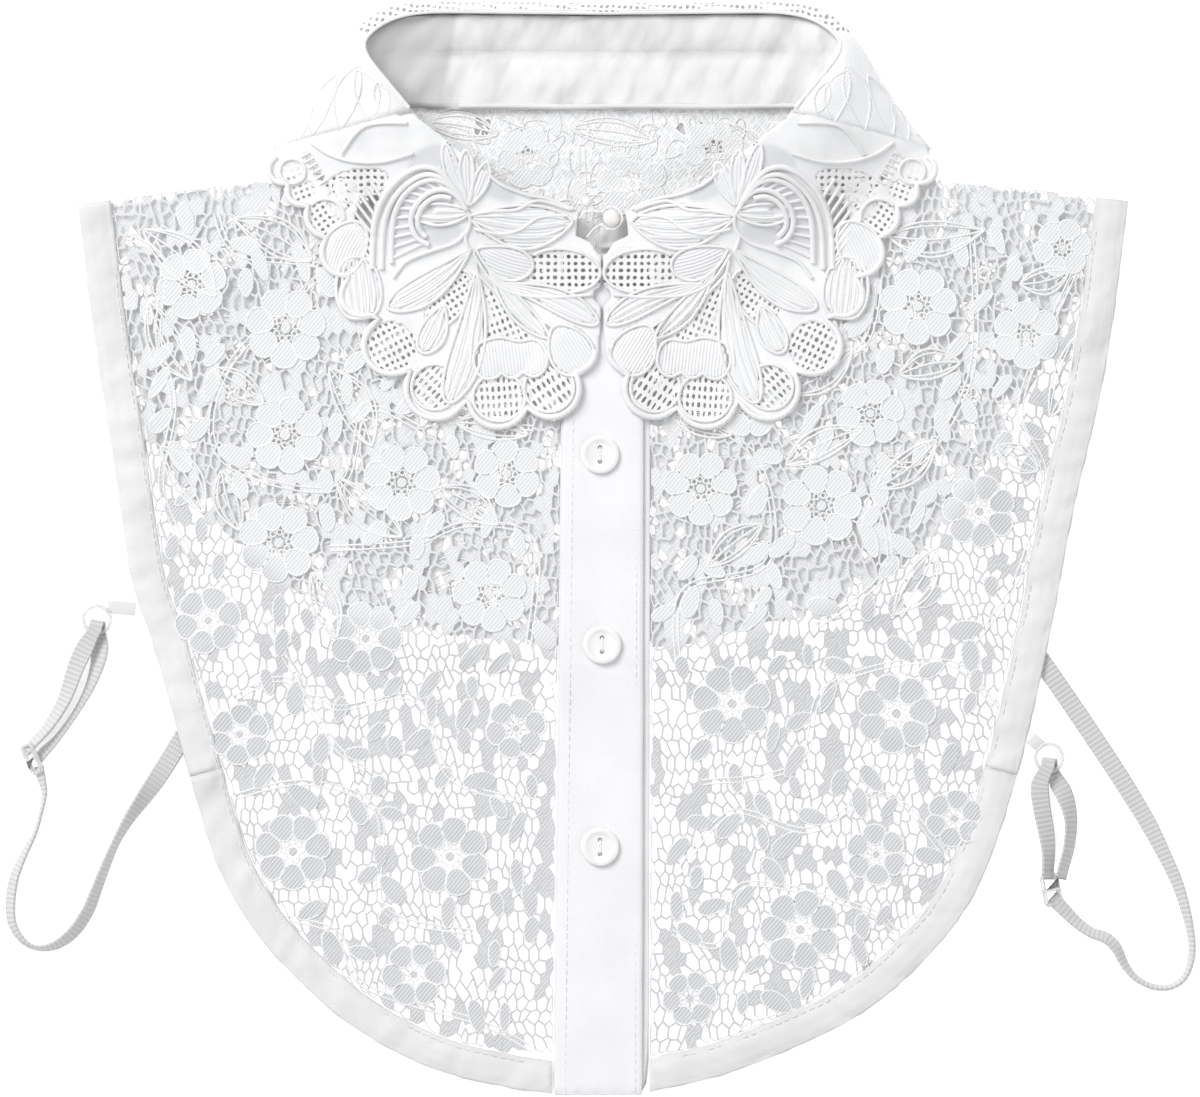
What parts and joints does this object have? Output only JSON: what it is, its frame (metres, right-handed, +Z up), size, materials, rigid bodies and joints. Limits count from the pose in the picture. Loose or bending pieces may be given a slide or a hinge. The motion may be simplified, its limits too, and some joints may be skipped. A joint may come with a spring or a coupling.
{
  "type": "detachable lace collar",
  "caption": "Dickey-style detachable collar laid flat: lace fronts with a buttoned placket, shorter lace back, cotton neck stand, scalloped guipure lace fall and elastic side straps.",
  "frame": {"origin": "middle of the box on the floor that the collar lies on, under the placket between the first and second button from the neck", "axes": "+Z up from the floor; +Y from the hem to the neck; +X to the right as seen from above with the neck at the top, across both straps"},
  "size_m": [0.3964, 0.3641, 0.0195],
  "materials": {
    "lace": "fine net lace with satin flower motifs, cool white",
    "guipure": "heavy corded guipure lace, bright white",
    "cotton": "plain woven white cotton lawn, softly creased",
    "button": "satin white plastic",
    "pearl": "pearly coat",
    "elastic": "ribbed flat elastic",
    "fitting": "milky see-through plastic"
  },
  "bodies": {
    "root": {"back_panel": "lace", "front_left": "lace", "front_right": "lace", "binding_left_side": "cotton", "binding_left_hem": "cotton", "binding_right_side": "cotton", "binding_right_hem": "cotton", "placket_top": "cotton", "placket_under": "cotton", "button_1": "button", "button_2": "button", "button_3": "button", "stand_left": "cotton", "stand_back": "cotton", "stand_right": "cotton", "fall_left": "guipure", "fall_right": "guipure", "fall_back": "guipure", "pearl_button": "pearl", "loop_bead": "pearl", "thread_loop": "guipure", "strap_left_long": "elastic", "strap_left_loop": "elastic", "ring_left": "fitting", "slider_left": "fitting", "tab_left": "cotton", "strap_right_long": "elastic", "strap_right_loop": "elastic", "ring_right": "fitting", "slider_right": "fitting", "tab_right": "cotton"}
  },
  "joints": []
}
